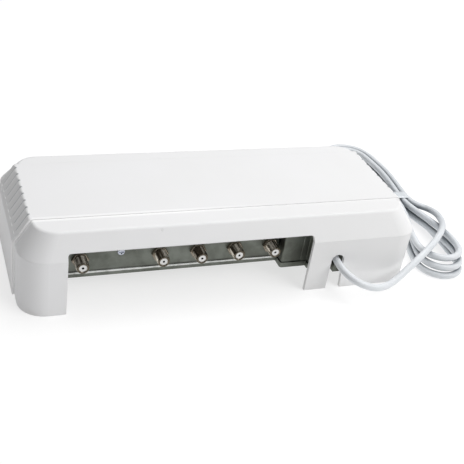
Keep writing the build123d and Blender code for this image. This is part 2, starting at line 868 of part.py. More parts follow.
# Transformer: laminated core with two windows
window_width = (stack_length - core_leg_width) / 2 - core_yoke_width
window_depth = stack_depth - 2 * core_yoke_width
with BuildPart() as transformer_core:
    with BuildSketch(Plane.XY.offset(stack_z)):
        with Locations((stack_x, stack_y)):
            Rectangle(stack_length, stack_depth)
            with GridLocations(core_leg_width + window_width, 0, 2, 1):
                Rectangle(window_width, window_depth, mode=Mode.SUBTRACT)
    extrude(amount=stack_height)
transformer_core.part.label = "transformer_core"
export_step(transformer_core.part, "parts/transformer_core.step")

# Winding round the middle leg of the core
winding_half = core_leg_width / 2 + window_width - winding_gap
with BuildPart() as transformer_winding:
    with BuildSketch(facing_front(stack_y - window_depth / 2 + winding_gap)):
        with Locations((stack_x, stack_mid_z)):
            RectangleRounded(2 * winding_half, winding_height, window_width / 2)
            Rectangle(
                core_leg_width + 2 * winding_gap,
                stack_height + 2 * winding_gap,
                mode=Mode.SUBTRACT,
            )
    extrude(amount=-(window_depth - 2 * winding_gap))
transformer_winding.part.label = "transformer_winding"
export_step(transformer_winding.part, "parts/transformer_winding.step")

# Strap that holds the transformer down on the tray
strap_half = stack_length / 2
strap_outer = strap_half + strap_gauge
strap_top = stack_mid_z + winding_height / 2 + running_gap
with BuildPart() as transformer_clamp:
    with BuildSketch(facing_front(stack_y - strap_width / 2)):
        with BuildLine():
            Polyline(
                (stack_x + strap_half, frame_z),
                (stack_x + strap_outer + strap_foot, frame_z),
                (stack_x + strap_outer + strap_foot, frame_z + strap_gauge),
                (stack_x + strap_outer, frame_z + strap_gauge),
                (stack_x + strap_outer, strap_top + strap_gauge),
                (stack_x - strap_outer, strap_top + strap_gauge),
                (stack_x - strap_outer, frame_z + strap_gauge),
                (stack_x - strap_outer - strap_foot, frame_z + strap_gauge),
                (stack_x - strap_outer - strap_foot, frame_z),
                (stack_x - strap_half, frame_z),
                (stack_x - strap_half, strap_top),
                (stack_x + strap_half, strap_top),
                close=True,
            )
        make_face()
    extrude(amount=-strap_width)
transformer_clamp.part.label = "transformer_clamp"
export_step(transformer_clamp.part, "parts/transformer_clamp.step")

# Smoothing capacitor, with the rolled groove of its can near the foot
psu_front = psu_board_y - psu_board_depth / 2
main_can_x = psu_left + main_can_radius + 2 * overrun
main_can_y = psu_front + psu_board_depth - main_can_radius - overrun
with BuildPart() as smoothing_capacitor:
    with BuildSketch(Plane.XY.offset(board_top)):
        with Locations((main_can_x, main_can_y)):
            Circle(main_can_radius)
    extrude(amount=main_can_height)
    chamfer(smoothing_capacitor.faces().sort_by(Axis.Z)[-1].edges(), can_groove_depth)
    with BuildSketch(Plane.XY.offset(board_top + 2 * can_groove_width)):
        with Locations((main_can_x, main_can_y)):
            Circle(main_can_radius)
            Circle(main_can_radius - can_groove_depth, mode=Mode.SUBTRACT)
    extrude(amount=can_groove_width, mode=Mode.SUBTRACT)
smoothing_capacitor.part.label = "smoothing_capacitor"
export_step(smoothing_capacitor.part, "parts/smoothing_capacitor.step")

# Rectifier bridge, standing beside the capacitor
bridge_x = main_can_x + main_can_radius + overrun + bridge_length / 2
with BuildPart() as rectifier_bridge:
    with BuildSketch(Plane.XY.offset(board_top)):
        with Locations((bridge_x, main_can_y)):
            Rectangle(bridge_length, bridge_width)
    extrude(amount=bridge_height)
    chamfer(rectifier_bridge.edges().filter_by(Axis.Z).group_by(Axis.X)[0], bridge_width / 4)
rectifier_bridge.part.label = "rectifier_bridge"
export_step(rectifier_bridge.part, "parts/rectifier_bridge.step")

# Finned heat sink in the corner of the board
sink_x = psu_left + psu_board_length - sink_width / 2 - overrun
sink_y = psu_front + psu_board_depth - sink_depth / 2 - overrun
fin_pitch = (sink_width - fin_gauge) / (fin_count - 1)
with BuildPart() as heat_sink:
    with BuildSketch(Plane.XY.offset(board_top)):
        with Locations((sink_x, sink_y - sink_depth / 2 + fin_gauge / 2)):
            Rectangle(sink_width, fin_gauge)
        with Locations((sink_x, sink_y)):
            with GridLocations(fin_pitch, 0, fin_count, 1):
                Rectangle(fin_gauge, sink_depth)
    extrude(amount=sink_height)
heat_sink.part.label = "heat_sink"
export_step(heat_sink.part, "parts/heat_sink.step")

# Voltage regulator, flat against the sink
regulator_y = sink_y - sink_depth / 2 - package_gauge / 2
with BuildPart() as regulator:
    with BuildSketch(Plane.XY.offset(board_top)):
        with Locations((sink_x, regulator_y)):
            Rectangle(package_width, package_gauge)
    extrude(amount=package_height)
regulator.part.label = "regulator"
export_step(regulator.part, "parts/regulator.step")

# Fuse and the two clips that hold it
fuse_x = bridge_x
fuse_y = psu_front + fuse_radius + clip_gauge + overrun
fuse_z = board_top + clip_base + fuse_radius
fuse_plane = Plane((fuse_x - fuse_length / 2, fuse_y, fuse_z), z_dir=(1, 0, 0))
with BuildPart() as fuse:
    with BuildSketch(fuse_plane):
        Circle(fuse_radius - clip_gauge / 2)
    extrude(amount=fuse_length)
    with BuildSketch(fuse_plane, fuse_plane.offset(fuse_length - fuse_cap_length)):
        Circle(fuse_radius)
    extrude(amount=fuse_cap_length)
fuse.part.label = "fuse"
export_step(fuse.part, "parts/fuse.step")

with BuildPart() as fuse_clips:
    for clip_centre in (fuse_cap_length / 2, fuse_length - fuse_cap_length / 2):
        with BuildSketch(fuse_plane.offset(clip_centre - clip_width / 2)):
            Circle(fuse_radius + clip_gauge)
        extrude(amount=clip_width)
    with BuildSketch(Plane.XY.offset(board_top)):
        with Locations((fuse_x, fuse_y)):
            with GridLocations(fuse_length - fuse_cap_length, 0, 2, 1):
                Rectangle(clip_width, 2 * fuse_radius)
    extrude(amount=clip_base + fuse_radius / 2)
    with BuildSketch(fuse_plane.offset(-overrun)):
        Circle(fuse_radius)
    extrude(amount=fuse_length + 2 * overrun, mode=Mode.SUBTRACT)
    with BuildSketch(Plane.XY.offset(fuse_z + fuse_radius / 2)):
        with Locations((fuse_x, fuse_y)):
            Rectangle(fuse_length + 2 * overrun, 3 * fuse_radius)
    extrude(amount=fuse_radius, mode=Mode.SUBTRACT)
fuse_clips.part.label = "fuse_clips"
export_step(fuse_clips.part, "parts/fuse_clips.step")

# Terminal block for the mains wires
terminal_x = psu_left + overrun + terminal_length / 2
terminal_y = psu_front + overrun / 2 + terminal_depth / 2
wire_z = board_top + terminal_height / 3
with BuildPart() as terminal_block:
    with BuildSketch(Plane.XY.offset(board_top)):
        with Locations((terminal_x, terminal_y)):
            Rectangle(terminal_length, terminal_depth)
    extrude(amount=terminal_height)
    with BuildSketch(facing_front(terminal_y - terminal_depth / 2)):
        with Locations((terminal_x, wire_z)):
            with GridLocations(terminal_pitch, 0, 2, 1):
                Rectangle(terminal_pitch / 2, terminal_pitch / 2)
    extrude(amount=-terminal_depth / 2, mode=Mode.SUBTRACT)
    with BuildSketch(Plane.XY.offset(board_top + terminal_height)):
        with Locations((terminal_x, terminal_y)):
            with GridLocations(terminal_pitch, 0, 2, 1):
                Circle(terminal_pitch / 4)
    extrude(amount=-terminal_height / 4, mode=Mode.SUBTRACT)
terminal_block.part.label = "terminal_block"
export_step(terminal_block.part, "parts/terminal_block.step")

# Two insulated wires from the tail of the gland to the terminal block
wire_paths = []
for side in (-1, 1):
    wire_start_x = cord_x + side * wire_spread
    wire_end_x = terminal_x + side * terminal_pitch / 2
    wire_y = entry_y + gland_tail
    wire_turn_y = wire_y + wire_lead_in + side * wire_stagger
    with BuildLine() as wire_line:
        FilletPolyline(
            (wire_start_x, wire_y, cord_z),
            (wire_start_x, wire_turn_y, cord_z),
            (wire_end_x, wire_turn_y + wire_slant, wire_z),
            (wire_end_x, terminal_y, wire_z),
            radius=wire_bend_radius,
        )
    wire_paths.append(wire_line.wires()[0])
with BuildPart() as mains_wires:
    for wire_path in wire_paths:
        with BuildSketch(Plane(wire_path @ 0, z_dir=wire_path % 0)):
            Circle(wire_radius)
        sweep(path=wire_path)
mains_wires.part.label = "mains_wires"
export_step(mains_wires.part, "parts/mains_wires.step")

# Mains lead: hank of four and a half loops, drawn in and tied at the waist
cord_radius = cord_diameter / 2
low_z = cord_radius
high_z = cord_radius + layer_pitch
waist_rise = tie_gauge + tie_gap


def hank_axes(along):
    # Unit vectors along and across the lobe that a place on the hank belongs to
    turn = waist_turn
    if along > waist_bend:
        turn = back_turn
    elif along < -waist_bend:
        turn = front_turn
    turn = math.radians(turn)
    return Vector(math.sin(turn), math.cos(turn)), Vector(math.cos(turn), -math.sin(turn))


def hank_node(along, across, z, heading):
    # A point of the hank and the direction of the cord there, measured from its lobe's axis
    lengthwise, sideways = hank_axes(along)
    rise = waist_rise if abs(along) < waist_bend else 0
    place = Vector(hank_x, hank_y, z + rise) + lengthwise * along + sideways * across
    angle = math.radians(heading)
    return place, lengthwise * math.cos(angle) + sideways * math.sin(angle)


def loop_nodes(slot_out, fold, reach, tip, z):
    # One lobe: out along one side, round the fold and back to the waist
    away = 0 if reach > 0 else 180
    across = 90 if fold > 0 else -90
    return [
        hank_node(reach, -fold, z, away),
        hank_node(tip, 0, z, across),
        hank_node(reach, fold, z, 180 - away),
        hank_node(0, slot_out, z, 180 - away),
    ]


entry_along = waist_half + waist_bend * math.sin(math.radians(entry_turn))
entry_across = outer_slot + waist_bend * (1 - math.cos(math.radians(entry_turn)))
hank_nodes = [
    hank_node(-entry_along, entry_across, high_z, -entry_turn),
    hank_node(-waist_half, outer_slot, high_z, 0),
]
back_outer_tip = back_reach + outer_fold
back_inner_tip = back_reach + inner_fold
front_inner_tip = -front_reach - inner_fold
hank_nodes += loop_nodes(-outer_slot, -outer_fold, back_reach, back_outer_tip, high_z)
hank_nodes += loop_nodes(inner_slot, outer_fold, -front_reach, -front_upper_reach, high_z)
hank_nodes += loop_nodes(-inner_slot, -inner_fold, back_reach, back_inner_tip, high_z)
hank_nodes += loop_nodes(inner_slot, inner_fold, -front_reach, front_inner_tip, low_z)
hank_nodes += loop_nodes(-outer_slot, -inner_fold, back_reach, back_inner_tip, low_z)
hank_nodes += loop_nodes(outer_slot, outer_fold, -front_reach, -front_outer_reach, low_z)
hank_nodes += [
    hank_node(back_reach, outer_fold, low_z, 0),
    hank_node(back_outer_tip, 0, low_z, -90),
    hank_node(back_outer_tip, -loose_end, low_z, -90),
]
fold_radii = []
with BuildLine() as hank_line:
    for (start, start_way), (end, end_way) in zip(hank_nodes[:-1], hank_nodes[1:]):
        chord = end - start
        ways = start_way + end_way
        spread = 1 - start_way.dot(end_way)
        if spread < 1e-9:
            reach = chord.dot(chord) / (4 * chord.dot(start_way))
        else:
            lean = chord.dot(ways)
            reach = (math.sqrt(lean ** 2 + 2 * spread * chord.dot(chord)) - lean) / (2 * spread)
        middle = (start + end + (start_way - end_way) * reach) / 2
        if chord.cross(start_way).length < 1e-6 * chord.length:
            Line(start, end)
            continue
        first_arc = TangentArc(start, middle, tangent=start_way)
        second_arc = TangentArc(middle, end, tangent=first_arc % 1)
        fold_radii += [first_arc.radius, second_arc.radius]
hank_path = hank_line.wires()[0]
print("hank length", round(hank_path.length, 1), "least radius", round(min(fold_radii), 2))

# Least gap of the hank to itself, measured on points along the cord
step_count = int(hank_path.length / cord_radius)
hank_points = [hank_path @ (step / step_count) for step in range(step_count + 1)]
skip = int(math.pi * cord_diameter / cord_radius)
least_gap = min(
    (hank_points[one] - hank_points[two]).length
    for one in range(step_count)
    for two in range(one + skip, step_count + 1)
) - cord_diameter
print("least gap of the hank to itself", round(least_gap, 2))

with BuildPart() as cord_hank:
    with BuildSketch(Plane(hank_path @ 0, z_dir=hank_path % 0)):
        Circle(cord_radius)
    sweep(path=hank_path)
cord_hank.part.label = "cord_hank"
export_step(cord_hank.part, "parts/cord_hank.step")


def cord_tube(points):
    # A tube of straight runs and tangent arcs, and the print of its radii and its volume
    places = [Vector(*point) for point in points]
    radii = []
    for before, here, after in zip(places[:-2], places[1:-1], places[2:]):
        run_in = here - before
        run_out = after - here
        half_turn = math.radians(run_in.get_angle(run_out)) / 2
        radii.append(fillet_share * min(run_in.length, run_out.length) / math.tan(half_turn))
    with BuildLine() as line:
        FilletPolyline(*places, radius=radii)
    path = line.wires()[0]
    with BuildPart() as tube:
        with BuildSketch(Plane(path @ 0, z_dir=path % 0)):
            Circle(cord_radius)
        sweep(path=path)
    print("radii", [round(radius, 1) for radius in radii], "length", round(path.length, 1))
    print("volume", round(tube.part.volume), round(math.pi * cord_radius ** 2 * path.length))
    return tube.part


# Free stretch of the lead, from the gland to the hank
entry_place, entry_way = hank_nodes[0]
lead_form = cord_tube(
    [
        (cord_x, gland_tip_y, cord_z),
        *lead_points,
        tuple(entry_place - entry_way * 2 * cord_diameter),
        tuple(entry_place),
    ]
)
with BuildPart() as mains_lead:
    add(lead_form)
mains_lead.part.label = "mains_lead"
export_step(mains_lead.part, "parts/mains_lead.step")

# Last stretch, from the hank to the plug
exit_place, exit_way = hank_nodes[-1]
tail_form = cord_tube(
    [
        tuple(exit_place),
        tuple(exit_place + exit_way * 2 * cord_diameter),
        *tail_points,
    ]
)
with BuildPart() as mains_tail:
    add(tail_form)
mains_tail.part.label = "mains_tail"
export_step(mains_tail.part, "parts/mains_tail.step")

# Tie round the waist of the hank
tie_lengthwise, tie_sideways = hank_axes(0)
tie_inner_half = outer_slot + cord_radius + tie_gap
tie_inner_height = layer_pitch + cord_diameter + 2 * tie_gap
tie_place = Vector(hank_x, hank_y, tie_gauge + tie_inner_height / 2) - tie_lengthwise * tie_width / 2
with BuildPart() as hank_tie:
    with BuildSketch(Plane(tie_place, x_dir=tie_sideways, z_dir=tie_lengthwise)):
        RectangleRounded(
            2 * (tie_inner_half + tie_gauge),
            tie_inner_height + 2 * tie_gauge,
            cord_radius + tie_gap + tie_gauge,
        )
        RectangleRounded(
            2 * tie_inner_half,
            tie_inner_height,
            cord_radius + tie_gap,
            mode=Mode.SUBTRACT,
        )
    extrude(amount=tie_width)
hank_tie.part.label = "hank_tie"
export_step(hank_tie.part, "parts/hank_tie.step")

# Flat two-pin plug, lying on the surface behind the hood
plug_x, plug_y, plug_z = tail_points[-1]
plug_half = plug_width / 2
with BuildPart() as plug_body:
    with BuildSketch(Plane.XY.offset(plug_z - plug_thickness / 2)):
        with BuildLine():
            Polyline(
                (plug_x, plug_y - plug_neck_width / 2),
                (plug_x, plug_y + plug_neck_width / 2),
                (plug_x - plug_neck_length, plug_y + plug_neck_width / 2),
                (plug_x - plug_length + plug_face_length, plug_y + plug_half),
                (plug_x - plug_length, plug_y + plug_half),
                (plug_x - plug_length, plug_y - plug_half),
                (plug_x - plug_length + plug_face_length, plug_y - plug_half),
                (plug_x - plug_neck_length, plug_y - plug_neck_width / 2),
                close=True,
            )
        make_face()
    extrude(amount=plug_thickness)
    fillet(plug_body.edges().filter_by(Axis.Z), plug_corner)
    fillet(plug_body.faces().filter_by(Axis.Z).edges(), plug_corner)
plug_body.part.label = "plug_body"
export_step(plug_body.part, "parts/plug_body.step")

with BuildPart() as plug_pins:
    with BuildSketch(Plane((plug_x - plug_length, plug_y, plug_z), x_dir=(0, 1, 0), z_dir=(-1, 0, 0))):
        with GridLocations(pin_pitch, 0, 2, 1):
            Circle(pin_sleeve_radius)
    extrude(amount=pin_sleeve_length)
    pin_plane = Plane(
        (plug_x - plug_length - pin_sleeve_length, plug_y, plug_z),
        x_dir=(0, 1, 0),
        z_dir=(-1, 0, 0),
    )
    with BuildSketch(pin_plane):
        with GridLocations(pin_pitch, 0, 2, 1):
            Circle(pin_radius)
    extrude(amount=pin_length - pin_sleeve_length)
    fillet(plug_pins.faces().sort_by(Axis.X)[0:2].edges(), pin_round)
plug_pins.part.label = "plug_pins"
export_step(plug_pins.part, "parts/plug_pins.step")
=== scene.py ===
import bpy
import bmesh
import math
from mathutils import Matrix, Vector


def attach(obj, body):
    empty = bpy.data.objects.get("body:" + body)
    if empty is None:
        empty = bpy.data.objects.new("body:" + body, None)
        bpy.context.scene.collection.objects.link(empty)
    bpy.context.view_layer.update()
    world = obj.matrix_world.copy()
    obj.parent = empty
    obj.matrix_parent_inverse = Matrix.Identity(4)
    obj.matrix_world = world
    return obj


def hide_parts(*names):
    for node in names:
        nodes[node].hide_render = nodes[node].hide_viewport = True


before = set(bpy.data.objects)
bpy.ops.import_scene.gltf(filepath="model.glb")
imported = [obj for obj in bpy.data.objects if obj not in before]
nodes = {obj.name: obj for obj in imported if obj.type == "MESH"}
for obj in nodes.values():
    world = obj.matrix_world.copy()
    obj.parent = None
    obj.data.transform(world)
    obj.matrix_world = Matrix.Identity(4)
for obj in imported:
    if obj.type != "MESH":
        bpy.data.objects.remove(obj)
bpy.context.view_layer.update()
print("frame loaded, nodes:", len(nodes))

softMix = (0.35, 0.65)  # noise is cut off here before it mixes two tones
wideMix = (0.3, 0.7)
cornerLook = {"rays": 6, "closed": 0.35, "open": 0.95}  # how openness is read as a corner
perMetre = 1000  # the cord's points are in millimetres

# in the looks below a noise is its scale, detail and roughness, and its stretch if it has one;
# rough is the least roughness and what each pattern adds, metal the most and what each takes


def tone(red, green, blue):
    # a colour given on a 0 to 255 scale, taken off the screen's curve for the shader
    return tuple(((c / 255 + 0.055) / 1.055) ** 2.4 if c > 10 else c / 255 / 12.92
                 for c in (red, green, blue)) + (1.0,)


class Wire:
    # a shader socket that can be used in plain sums
    def __init__(self, tree, socket):
        self.tree = tree
        self.socket = socket

    def sum(self, operation, left, right=0.0):
        node = self.tree.nodes.new("ShaderNodeMath")
        node.operation = operation
        for spot, value in zip(node.inputs, (left, right)):
            fill(self.tree, spot, value)
        return Wire(self.tree, node.outputs[0])

    def __add__(self, other):
        return self.sum("ADD", self, other)

    def __sub__(self, other):
        return self.sum("SUBTRACT", self, other)

    def __rsub__(self, other):
        return self.sum("SUBTRACT", other, self)

    def __mul__(self, other):
        return self.sum("MULTIPLY", self, other)

    def __truediv__(self, other):
        return self.sum("DIVIDE", self, other)

    def __abs__(self):
        return self.sum("ABSOLUTE", self)

    def fraction(self):
        return self.sum("FRACT", self)

    __radd__ = __add__
    __rmul__ = __mul__


def fill(tree, spot, value):
    # a link where the value is a wire, and a plain setting otherwise
    if isinstance(value, Wire):
        tree.links.new(value.socket, spot)
    else:
        spot.default_value = value


class Finish:
    # one material, with the few patterns that this object's surfaces need
    def __init__(self, name, gloss=0.5):
        self.material = bpy.data.materials.new(name)
        self.material.use_nodes = True
        self.tree = self.material.node_tree
        self.tree.nodes.clear()
        self.shader = self.make("ShaderNodeBsdfPrincipled", inputs={"Specular IOR Level": gloss})
        self.make("ShaderNodeOutputMaterial", inputs={"Surface": self.out(self.shader)})
        self.place = self.out(self.make("ShaderNodeTexCoord"), "Object")

    def make(self, kind, settings=None, inputs=None):
        node = self.tree.nodes.new(kind)
        for key, value in (settings or {}).items():
            setattr(node, key, value)
        for key, value in (inputs or {}).items():
            fill(self.tree, node.inputs[key], value)
        return node

    def out(self, node, key=0):
        return Wire(self.tree, node.outputs[key])

    def where(self, stretch):
        # the place on the piece, drawn out where a pattern runs one way
        if stretch is None:
            return self.place
        return self.out(self.make("ShaderNodeMapping", inputs={"Vector": self.place, "Scale": stretch}))

    def noise(self, scale, detail, roughness, stretch=None):
        return self.out(self.make("ShaderNodeTexNoise", inputs={
            "Vector": self.where(stretch), "Scale": scale, "Detail": detail, "Roughness": roughness}))

    def cells(self, scale, feature="F1", stretch=None):
        return self.out(self.make("ShaderNodeTexVoronoi", {"feature": feature}, {
            "Vector": self.where(stretch), "Scale": scale}))

    def bands(self, scale, axis):
        return self.out(self.make("ShaderNodeTexWave", {"bands_direction": axis}, {
            "Vector": self.place, "Scale": scale}), 1)

    def height(self, axis):
        return self.out(self.make("ShaderNodeSeparateXYZ", inputs={"Vector": self.place}), axis)

    def limit(self, value, low, high, first=0.0, last=1.0):
        return self.out(self.make("ShaderNodeMapRange", {"clamp": True}, {
            "Value": value, "From Min": low, "From Max": high, "To Min": first, "To Max": last}))

    def blend(self, share, first, second):
        # a colour mix has its sockets at these places
        node = self.make("ShaderNodeMix", {"data_type": "RGBA"})
        for spot, value in ((0, share), (6, first), (7, second)):
            fill(self.tree, node.inputs[spot], value)
        return self.out(node, 2)

    def relief(self, height, distance, edge=None):
        # the bump; with an edge, corners shade as if rounded to that radius
        sockets = {"Height": height, "Distance": distance, "Strength": 1.0}
        if edge:
            sockets["Normal"] = self.out(self.make(
                "ShaderNodeBevel", {"samples": cornerLook["rays"]}, {"Radius": edge}))
        return self.out(self.make("ShaderNodeBump", inputs=sockets))

    def crevice(self, distance):
        # 1 deep in a groove or a corner of the piece itself, 0 in the open
        node = self.make("ShaderNodeAmbientOcclusion", {
            "samples": cornerLook["rays"], "only_local": True}, {"Distance": distance})
        return self.limit(self.out(node, 1), cornerLook["closed"], cornerLook["open"], 1.0, 0.0)

    def wear(self, colour, roughness, metallic=None, normal=None):
        sockets = {"Base Color": colour, "Roughness": roughness, "Metallic": metallic, "Normal": normal}
        for key, value in sockets.items():
            if value is not None:
                fill(self.tree, self.shader.inputs[key], value)
        return self


def dress(finish, *names):
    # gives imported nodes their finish
    for name in names:
        piece = nodes[name]
        if not piece.material_slots:
            piece.data.materials.append(None)
        for slot in piece.material_slots:
            slot.material = finish.material


def numbered(name):
    # the nodes of one kind, one at each socket
    return [f"{name}_{number}" for number in range(1, 6)]


def addObject(name, data):
    thing = bpy.data.objects.new(name, data)
    bpy.context.scene.collection.objects.link(thing)
    return thing


def skin(mesh, loops):
    # four-sided faces between each loop of points and the next
    for first, second in zip(loops[:-1], loops[1:]):
        for spot in range(len(first)):
            after = (spot + 1) % len(first)
            mesh.faces.new((first[spot], first[after], second[after], second[spot]))


def meshPiece(name, mesh, finish, body, smooth=True):
    bmesh.ops.recalc_face_normals(mesh, faces=mesh.faces)
    data = bpy.data.meshes.new(name)
    mesh.to_mesh(data)
    mesh.free()
    data.materials.append(finish.material)
    for face in data.polygons:
        face.use_smooth = smooth
    piece = addObject(name, data)
    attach(piece, body)
    return piece


# the camera stands where the photo was taken
view = {
    "place": (-0.214134, -0.514491, 0.369419),
    "right": (0.933104, -0.330998, 0.140558),
    "up": (0.067562, 0.545270, 0.835533),
    "ahead": (0.353202, 0.770143, -0.531157),
    "lens": 65.02,
    "film": 36.0,
    "nearest": 0.01,
}
cameraData = bpy.data.cameras.new("camera")
cameraData.lens = view["lens"]
cameraData.sensor_width = view["film"]
cameraData.clip_start = view["nearest"]
camera = addObject("camera", cameraData)
turn = Matrix((view["right"], view["up"], [-c for c in view["ahead"]])).transposed()
camera.matrix_world = Matrix.Translation(view["place"]) @ turn.to_4x4()
bpy.context.scene.camera = camera
print("camera set")

# mains cord: painted shade darkens the sheath where the turns lie against one another
sheathLook = {
    "gloss": 0.42,
    "dark": tone(211, 215, 219),
    "light": tone(223, 226, 229),
    # tone and reach of the painted shade between the strands
    "strandShade": tone(142, 148, 154),
    "strandShadeReach": 0.012,
    "fine": (900.0, 4.0, 0.6),
    "slow": (24.0, 3.0, 0.5),
    "rough": (0.34, 0.16),
    "bump": (0.6, 1.2),  # shares of the fine and the slow pattern
    "depth": 0.00006,
}
sheath = Finish("cordSheath", sheathLook["gloss"])
fine = sheath.noise(*sheathLook["fine"])
slow = sheath.noise(*sheathLook["slow"])
sheathTone = sheath.blend(sheath.limit(slow, *softMix), sheathLook["dark"], sheathLook["light"])
sheath.wear(
    # painted shade between the strands, where the turns touch
    colour=sheath.blend(sheath.crevice(sheathLook["strandShadeReach"]), sheathTone, sheathLook["strandShade"]),
    roughness=sheathLook["rough"][0] + sheathLook["rough"][1] * fine,
    normal=sheath.relief(
        fine * sheathLook["bump"][0] + slow * sheathLook["bump"][1], sheathLook["depth"]),
)

cord = {
    "thickness": 0.0055,
    "exit": (0.0833, -0.0585, 0.0254),
    "length": 1.85,
    "ringSteps": 6,
    "knotSteps": 6,
    # free stretch from the hood to the hank, in millimetres
    "lead": [
        (83.3, -58.5, 25.4), (82.3, -69.6, 24.5), (85.3, -80.5, 22.5), (92.3, -87.4, 19.6),
        (103.7, -89.4, 15.8), (116.0, -85.7, 12.9), (129.4, -78.5, 12.4), (141.2, -72.4, 15.9),
        (153.6, -65.6, 19.1), (166.4, -57.8, 21.4), (178.5, -48.9, 22.3), (189.0, -40.0, 22.4),
        (197.9, -31.1, 21.7), (206.0, -21.1, 20.7), (211.9, -8.2, 19.0), (215.6, 5.3, 16.2),
        (215.0, 17.5, 13.1), (208.9, 27.7, 11.4),
    ],
    # from the hank to the plug
    "tail": [
        (174.5, 145.8, 2.75), (165.2, 141.6, 2.75), (157.4, 133.4, 2.75), (151.2, 123.2, 2.75),
        (140.4, 113.5, 3.2), (127.3, 108.5, 6.85), (115.3, 108.5, 6.85),
    ],
}
low, high, top = 2.75, 8.95, 15.4  # heights of the turns: on the floor, on those, over both
inner, outer = 2.9, 8.7  # places of the strands side by side under the strap
back, front = 1, -1
hank = {
    "middle": (204.6, 42.0),
    "waist": {"shift": -5.0, "turn": 3.8, "rise": 1.1},
    "turns": {back: -6.0, front: 9.8},
    "shares": (0.16, 0.34, 0.52, 0.7, 0.88),
    "foldStep": 30,
    # each lobe: its two sides, the fold's tip, the heights at the start, fold and end, the slots
    "lobes": [
        {"way": back, "sides": (-30.2, 16.0), "tip": 104.5, "z": (high, high, high),
         "slots": (outer, -outer)},
        {"way": front, "sides": (-18.7, 17.2), "tip": 104.5, "z": (high, top, high),
         "slots": (-outer, inner)},
        {"way": back, "sides": (-24.6, 10.2), "tip": 98.5, "z": (high, high, high),
         "slots": (inner, -inner)},
        {"way": front, "sides": (-17.6, 17.2), "tip": 109.0, "z": (high, high, low),
         "slots": (-inner, inner)},
        {"way": back, "sides": (-24.6, 10.2), "tip": 98.5, "z": (low, low, low),
         "slots": (inner, -outer)},
        {"way": front, "sides": (-19.5, 18.0), "tip": 111.5, "z": (low, low, low),
         "slots": (-outer, outer)},
        {"way": back, "sides": (-30.2, 16.0), "tip": 104.5, "z": (low, low, low),
         "slots": (outer, outer)},
    ],
}


def ease(share):
    return share * share * (3 - 2 * share)


def hankPlace(way, along, across, z, reach):
    # a place on the hank, whose lobes bend a little about its waist
    share = ease(min(1.0, abs(along) / reach))
    waist = hank["waist"]
    angle = math.radians(waist["turn"] + (hank["turns"][way] - waist["turn"]) * share)
    across += waist["shift"] * (1 - share)
    x = hank["middle"][0] + along * math.sin(angle) + across * math.cos(angle)
    y = hank["middle"][1] + along * math.cos(angle) - across * math.sin(angle)
    return (x, y, z + waist["rise"] * (1 - share))


def hankLobe(lobe, lastLobe):
    # out along one side, round the fold and back to the waist; the last one ends on the fold
    way, (outSide, backSide) = lobe["way"], lobe["sides"]
    if way == back:
        outSide, backSide = backSide, outSide
    half = abs(outSide - backSide) / 2
    middle = (outSide + backSide) / 2
    reach = lobe["tip"] - half
    zIn, zFold, zOut = lobe["z"]
    slotIn, slotOut = lobe["slots"]
    points = []
    for share in hank["shares"]:
        across = slotIn + (outSide - slotIn) * ease(share)
        z = zIn + (zFold - zIn) * ease(share)
        points.append(hankPlace(way, way * reach * share, across, z, reach))
    for step in range(0, (90 if lastLobe else 180) + 1, hank["foldStep"]):
        angle = math.radians(step)
        along = way * (reach + half * math.sin(angle))
        across = middle + (outSide - middle) * math.cos(angle)
        points.append(hankPlace(way, along, across, zFold, reach))
    if lastLobe:
        return points
    for share in hank["shares"][::-1] + (0.0,):
        across = slotOut + (backSide - slotOut) * ease(share)
        z = zOut + (zFold - zOut) * ease(share)
        points.append(hankPlace(way, way * reach * share, across, z, reach))
    return points


hankRoute = [hankPlace(back, 0.0, outer, high, 1.0)]
for number, lobe in enumerate(hank["lobes"], start=1):
    hankRoute += hankLobe(lobe, number == len(hank["lobes"]))
cordRoute = cord["lead"] + hankRoute + cord["tail"]

cordData = bpy.data.curves.new("mainsCord", "CURVE")
cordData.dimensions = "3D"
cordData.bevel_depth = cord["thickness"] / 2
cordData.bevel_resolution = cord["ringSteps"]
cordData.resolution_u = cord["knotSteps"]
cordData.use_fill_caps = True
cordSpline = cordData.splines.new("NURBS")
cordSpline.points.add(len(cordRoute) - 1)
for knot, (x, y, z) in zip(cordSpline.points, cordRoute):
    knot.co = (x / perMetre, y / perMetre, z / perMetre, 1.0)
cordSpline.order_u = 3
cordSpline.use_endpoint_u = True
cordSpline.use_smooth = True
cordData.materials.append(sheath.material)
mainsCord = addObject("mainsCord", cordData)
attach(mainsCord, "chassis")
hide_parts("mains_lead", "cord_hank", "mains_tail")

# strap round the waist of the hank
strapLook = {"gloss": 0.6, "light": tone(222, 226, 229), "shade": tone(206, 211, 216),
             "crease": (260.0, 3.0, 0.5, (1.0, 0.3, 1.0)), "rough": (0.16, 0.16), "depth": 0.0002}
strapFilm = Finish("strapFilm", strapLook["gloss"])
crease = strapFilm.noise(*strapLook["crease"])
strapFilm.wear(
    colour=strapFilm.blend(
        strapFilm.limit(crease, *softMix), strapLook["shade"], strapLook["light"]),
    roughness=strapLook["rough"][0] + strapLook["rough"][1] * crease,
    normal=strapFilm.relief(crease, strapLook["depth"]),
)
strap = {
    "half": 0.0121, "low": 0.0004, "high": 0.0136, "corner": 0.0052, "width": 0.0115,
    "cornerSteps": 8,
    "wave": 0.0004, "wavePitch": 0.35,
    # round the film's section: place as a share of the width, and how far in
    "section": ((-0.5, 0.0004), (-0.46, 0.0), (-0.2, 0.0001), (0.2, 0.0), (0.46, 0.0001),
                (0.5, 0.0004), (0.46, 0.0006), (0.0, 0.0007), (-0.46, 0.0006)),
}


